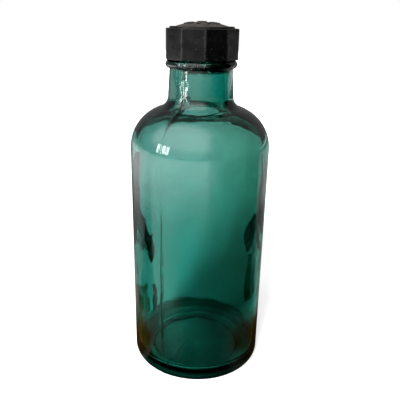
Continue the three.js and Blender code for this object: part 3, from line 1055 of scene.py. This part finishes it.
class BOTTLE_OT_punch_liner(bpy.types.Operator):
    """Make the cork wad and the waxed facing under it"""

    bl_idname = "bottle.punch_liner"
    bl_label = "Punch the liner"

    def execute(self, context):
        s = context.scene.bottle_liner
        glass = context.scene.bottle_glass
        wad = disc_rings(WAD_HIGH.x, WAD_LOW.z, WAD_HIGH.z, s.wad_round)
        dress(skin("cork_disc", wad), cork_material(s), "liner", "cork_wad")

        def dent(distance):
            from_lip = abs(distance - (glass.bore_radius + glass.finish_radius) / 2) / (1.2 * MM)
            return s.pressed * (1 - smooth_step(from_lip))

        edge_round = (FACING_HIGH.z - FACING_LOW.z) / 4
        facing = disc_rings(FACING_HIGH.x, FACING_LOW.z, FACING_HIGH.z, edge_round, dent)
        dress(skin("facing_disc", facing), paper_material(s), "liner", "wad_facing")
        return {"FINISHED"}


def only_seen_by(thing, ray):
    """Hides a studio thing from every kind of ray but one."""
    for kind in ("camera", "diffuse", "glossy", "transmission", "volume_scatter", "shadow"):
        setattr(thing, "visible_" + kind, kind == ray)


def card(name, corners, material):
    """A flat studio card with four or more corners."""
    mesh = bpy.data.meshes.new(name)
    mesh.from_pydata([Vector(corner) for corner in corners], [], [tuple(range(len(corners)))])
    mesh.materials.append(material)
    thing = bpy.data.objects.new(name, mesh)
    bpy.context.scene.collection.objects.link(thing)
    return thing


def ray_kinds(nodes):
    """1 for the rays from the camera, off a gloss and through glass, and how many surfaces a ray has met.
    A ray through glass isn't one off a gloss.
    """
    rays = nodes.add("ShaderNodeLightPath").outputs
    through = rays["Is Transmission Ray"]
    gloss = nodes.math("SUBTRACT", rays["Is Glossy Ray"], through, clamp=True)
    return rays["Is Camera Ray"], gloss, through, rays["Ray Depth"]


def light_world(s):
    """An even light from all sides: white behind the bottle, and a dim room over the horizon through the glass."""
    world = bpy.data.worlds.new("white_room")
    nodes = emptied(world)
    camera, gloss, through, _ = ray_kinds(nodes)
    heading = nodes.add("ShaderNodeTexCoord").outputs["Generated"]
    over_horizon = nodes.towards(heading, UP, 0.0, 0.06)
    dimmed = nodes.times(through, nodes.spread(over_horizon, 0.0, 1.0, 1.0, 0.02))
    front_left = nodes.towards(heading, (-0.5, -0.65, 0.57), 0.5, 0.8)
    overhead = nodes.towards(heading, UP, 0.0, 0.6)
    low_room = 0.35 * s.ceiling
    bright = nodes.times(front_left, nodes.spread(overhead, 0.0, 1.0, low_room, s.ceiling))
    other = nodes.math("SUBTRACT", 1.0, nodes.plus(camera, gloss, through), clamp=True)
    strength = nodes.plus(
        nodes.either(camera, dimmed), nodes.times(gloss, nodes.plus(bright, s.sheen)), nodes.times(other, s.fill)
    )
    nodes.show(nodes.feed_in_order(nodes.add("ShaderNodeBackground"), WHITE, strength)[0], "World")
    bpy.context.scene.world = world


class FloorPlace:
    """Where a place on the floor lies: how far from the bottle's axis, and in which direction."""

    def __init__(self, nodes):
        place = nodes.add("ShaderNodeTexCoord").outputs["Object"]
        self.nodes = nodes
        self.x, self.y, _ = nodes.parts("XYZ", place)
        self.distance = nodes.vector("LENGTH", "Value", place)
        self.direction = nodes.vector("NORMALIZE", "Vector", place)

    def far(self, *ranges):
        """A value that changes with the distance."""
        return self.nodes.spread(self.distance, *ranges)

    def towards(self, heading, low, high):
        """How far the place lies in a heading."""
        return self.nodes.towards(self.direction, heading, low, high)


def floor_in_view(nodes, s, floor, camera, through, lit_side):
    """The floor as the camera sees it, and as it shows through the glass: dim, with a painted pool of light under
    the base, and brown beside the foot, which glows brighter on the lit side.
    """
    # Painted light: a glow on the floor under the base, seen only through the glass.
    light_under_base = nodes.times(
        nodes.spread(floor.x, 16 * MM, -20 * MM, 0.06, 0.7),
        nodes.spread(floor.y, -24 * MM, 10 * MM, 0.3, 1.0),
        floor.far(60 * MM, 40 * MM),
    )
    beside = nodes.plus(nodes.spread(floor.x, -23 * MM, -28 * MM), nodes.spread(floor.x, 36 * MM, 46 * MM))
    brown = nodes.times(
        through,
        beside,
        nodes.between(floor.y, -50 * MM, -35 * MM, 18 * MM, 38 * MM),
        floor.far(85 * MM, 70 * MM),
    )
    matt = nodes.add("ShaderNodeBsdfDiffuse")
    nodes.feed(matt.inputs["Color"], nodes.mix(brown, s.floor_colour, s.umber))
    to_camera, everywhere = 0.7, 0.055
    strength = nodes.plus(
        nodes.times(camera, to_camera),
        nodes.times(through, nodes.plus(light_under_base, everywhere)),
        nodes.times(brown, lit_side),
    )
    glow = nodes.emission(nodes.mix(brown, WHITE, s.umber), strength)
    return nodes.feed_in_order(nodes.add("ShaderNodeAddShader"), matt.outputs[0], glow)[0]


def floor_in_gloss(nodes, s, floor, lit_side):
    """The floor as a gloss shows it: bright at the left and far back at the right, and brown beside the foot."""
    far_left = nodes.times(floor.towards((-1.0, 0.1, 0.0), 0.9, 0.2), floor.far(0.8, 1.0, 0.0, 0.6))
    front_left = nodes.times(
        floor.towards((-0.8, -0.6, 0.0), -0.3, 0.55),
        floor.far(0.2, 0.48),
        floor.far(0.9, 1.8, 1.0, 0.35),
        nodes.rest(far_left),
    )
    at_left = floor.towards(LEFT, 0.3, 0.9)
    near_front = nodes.times(
        nodes.spread(floor.y, -32 * MM, -42 * MM), at_left, floor.far(0.9, 0.3), floor.far(75 * MM, 130 * MM)
    )
    back_left = nodes.times(nodes.spread(floor.y, 25 * MM, 45 * MM), at_left)
    back_right = nodes.times(
        floor.towards((0.77, 0.64, 0.0), 0.905, 0.95),
        floor.far(0.26, 0.33, 0.22, 0.55),
        floor.far(0.8, 1.0, 1.0, 0.2),
        floor.far(1.7, 2.1, 1.0, 11.0),
    )
    haze = nodes.times(
        floor.towards((-0.75, -0.66, 0.0), 0.82, 0.93),
        floor.far(100 * MM, 85 * MM),
        floor.far(50 * MM, 65 * MM),
    )
    beside = nodes.either(floor.towards(RIGHT, 0.5, 0.9), floor.towards(LEFT, 0.85, 0.95))
    foot = nodes.times(beside, floor.far(95 * MM, 60 * MM))
    lights = (
        (front_left, s.bright),
        (near_front, 0.8),
        (back_left, 0.3),
        (back_right, 1.0),
        (haze, 0.13),
        (nodes.times(foot, lit_side), 0.6),
    )
    strength = nodes.plus(*(nodes.times(share, brightness) for share, brightness in lights))
    return nodes.emission(nodes.mix(foot, WHITE, s.gloss_umber), strength)


def floor_darkness(nodes, floor):
    """Where the floor at both sides is dark, for the rays that the glass has turned aside."""
    near = nodes.times(floor.towards(RIGHT, 0.88, 0.92), floor.far(90 * MM, 105 * MM))
    both_sides = nodes.either(floor.towards(RIGHT, 0.75, 0.8), floor.towards(LEFT, 0.8, 0.86))
    wider = nodes.times(both_sides, floor.far(175 * MM, 190 * MM))
    return nodes.times(nodes.either(near, wider), floor.far(0.29, 0.27))


def lay_floor(s):
    """A pale floor that shows as white and keeps the shadow. Only the glass and a gloss show its other shades."""
    material = bpy.data.materials.new("pale_floor")
    nodes = emptied(material)
    camera, gloss, through, depth = ray_kinds(nodes)
    floor = FloorPlace(nodes)
    lit_side = nodes.spread(floor.x, -20 * MM, 30 * MM, 1.0, 0.4)
    in_view = floor_in_view(nodes, s, floor, camera, through, lit_side)
    in_gloss = floor_in_gloss(nodes, s, floor, lit_side)
    straight_through = nodes.math("COMPARE", depth, WALL_SURFACES, 0.5)
    turned_aside = nodes.times(through, nodes.rest(straight_through))
    behind = nodes.either(floor.towards(BACK, 0.15, 0.45), floor.far(120 * MM, 90 * MM))
    mirrored = nodes.times(turned_aside, nodes.rest(behind))
    shown = nodes.fade(nodes.plus(gloss, mirrored), in_view, in_gloss)
    dark = nodes.times(floor_darkness(nodes, floor), turned_aside)
    nodes.show(nodes.fade(dark, shown, nodes.emission(s.charcoal, 1.0)))
    corners = [(x * FLOOR_HALF, y * FLOOR_HALF, 0) for x, y in ((-1, -1), (1, -1), (1, 1), (-1, 1))]
    card("floor", corners, material)


def plain_glow(name, shade):
    """A material of one shade that needs no light."""
    material = bpy.data.materials.new(name)
    nodes = emptied(material)
    nodes.show(nodes.emission(shade, 1.0))
    return material


def veil_material(s):
    """A dark material for a gloss only, which fades to clear towards the left."""
    material = bpy.data.materials.new("front_card")
    nodes = emptied(material)
    across = nodes.parts("XYZ", nodes.add("ShaderNodeTexCoord").outputs["Object"])[0]
    _, gloss, _, _ = ray_kinds(nodes)
    cover = nodes.times(nodes.spread(across, 20 * MM, 90 * MM), gloss)
    clear = nodes.add("ShaderNodeBsdfTransparent").outputs[0]
    nodes.show(nodes.fade(cover, clear, nodes.emission(s.charcoal, 1.0)))
    return material


def stand_cards(s):
    """Cards that no camera sees: they darken the edges of the glass, and in a gloss the cap's right side."""
    finish = {name: plain_glow(name + "_card", getattr(s, name)) for name in ("charcoal", "olive", "moss")}
    for name, outline in UPRIGHT_CARDS.items():
        only_seen_by(card(name, [(x, CARDS_BACK, z) for x, z in outline], finish["charcoal"]), "transmission")
    for name, (shade, outline) in LYING_CARDS.items():
        only_seen_by(card(name, [(x, y, CARDS_LIFT) for x, y in outline], finish[shade]), "transmission")
    only_seen_by(card("far_card", FAR_CARD, finish["charcoal"]), "transmission")
    only_seen_by(card("front_card", FRONT_CARD, veil_material(s)), "glossy")


def hang_lamp(lamp, turned, place, in_gloss):
    """Hangs a lamp at a place. It never shows through the glass."""
    holder = bpy.data.objects.new(lamp.name, lamp)
    holder.rotation_mode = "QUATERNION"
    holder.rotation_quaternion = turned
    holder.location = place
    holder.visible_glossy = in_gloss
    holder.visible_transmission = False
    bpy.context.scene.collection.objects.link(holder)


def hang_key(s):
    """The main lamp: soft, and too plain to show in a gloss."""
    lamp = bpy.data.lights.new("key", "SUN")
    lamp.energy = s.key_strength
    lamp.angle = s.key_spread
    towards_it = around(-QUARTER - s.key_turn, math.cos(s.key_rise), math.sin(s.key_rise))
    hang_lamp(lamp, (-towards_it).to_track_quat("-Z", "Y"), (0, 0, 0), in_gloss=False)


def hang_window(s):
    """A window of three panes, which gives the glass its glint."""
    pane_widths, pane_height, gap = (0.07, 0.2, 0.07), 0.3, 0.02
    shoulder = Vector((0, 0, 130 * MM))
    along_floor = math.cos(s.window_rise) * s.window_distance
    up = math.sin(s.window_rise) * s.window_distance
    middle = shoulder + around(-QUARTER - s.window_turn, along_floor, up)
    turned = (shoulder - middle).to_track_quat("-Z", "Y")
    start = -(sum(pane_widths) + gap * (len(pane_widths) - 1)) / 2
    for i, width in enumerate(pane_widths):
        lamp = bpy.data.lights.new(f"window_pane_{i + 1}", "AREA")
        lamp.shape = "RECTANGLE"
        lamp.size, lamp.size_y = width, pane_height
        lamp.energy = s.window_power * width / sum(pane_widths)
        hang_lamp(lamp, turned, middle + turned @ Vector((start + width / 2, 0, 0)), in_gloss=True)
        start += width + gap


def set_camera(s):
    """The camera at the photograph's viewing angle."""
    data = bpy.data.cameras.new("camera")
    data.lens = s.focal
    data.sensor_width = 36.0
    data.shift_x = s.shift
    camera = bpy.data.objects.new("camera", data)
    ahead = Vector((0, math.cos(s.pitch), -math.sin(s.pitch)))
    level = Vector((1, 0, 0))
    upright = level.cross(ahead)
    right = math.cos(s.roll) * level + math.sin(s.roll) * upright
    up = -math.sin(s.roll) * level + math.cos(s.roll) * upright
    turned = Matrix((right, up, -ahead)).transposed().to_4x4()
    camera.matrix_world = Matrix.Translation((-s.sideways, -s.distance, s.eye_height)) @ turned
    bpy.context.scene.collection.objects.link(camera)
    bpy.context.scene.camera = camera


class BOTTLE_OT_set_stage(bpy.types.Operator):
    """Set the camera, the floor, the lamps and the cards that the glass shows"""

    bl_idname = "bottle.set_stage"
    bl_label = "Set the stage"

    def execute(self, context):
        s = context.scene.bottle_studio
        context.scene.view_settings.view_transform = "Standard"
        set_camera(s)
        light_world(s)
        lay_floor(s)
        stand_cards(s)
        hang_key(s)
        hang_window(s)
        return {"FINISHED"}


class BOTTLE_PT_panel(bpy.types.Panel):
    """The steps that make the bottle, in order, and their sizes and colours"""

    bl_label = "Bottle"
    bl_idname = "BOTTLE_PT_panel"
    bl_space_type = "VIEW_3D"
    bl_region_type = "UI"
    bl_category = "Bottle"

    def draw(self, context):
        for step in STEPS:
            self.layout.operator(step.bl_idname)
        for name, settings in SETTINGS.items():
            self.layout.label(text=settings.__doc__)
            for key in settings.__annotations__:
                self.layout.prop(getattr(context.scene, name), key)


STEPS = (BOTTLE_OT_set_stage, BOTTLE_OT_mould_glass, BOTTLE_OT_press_cap, BOTTLE_OT_punch_liner)
SETTINGS = {
    "bottle_glass": GlassSettings,
    "bottle_cap": CapSettings,
    "bottle_liner": LinerSettings,
    "bottle_studio": StudioSettings,
}


def register():
    for settings in SETTINGS.values():
        bpy.utils.register_class(settings)
    for step in (*STEPS, BOTTLE_PT_panel):
        bpy.utils.register_class(step)
    for name, settings in SETTINGS.items():
        setattr(bpy.types.Scene, name, bpy.props.PointerProperty(type=settings))


def unregister():
    for name in SETTINGS:
        delattr(bpy.types.Scene, name)
    for step in (BOTTLE_PT_panel, *STEPS):
        bpy.utils.unregister_class(step)
    for settings in SETTINGS.values():
        bpy.utils.unregister_class(settings)


def main():
    register()
    for step in STEPS:
        family, name = step.bl_idname.split(".")
        getattr(getattr(bpy.ops, family), name)()


if __name__ == "__main__":
    main()
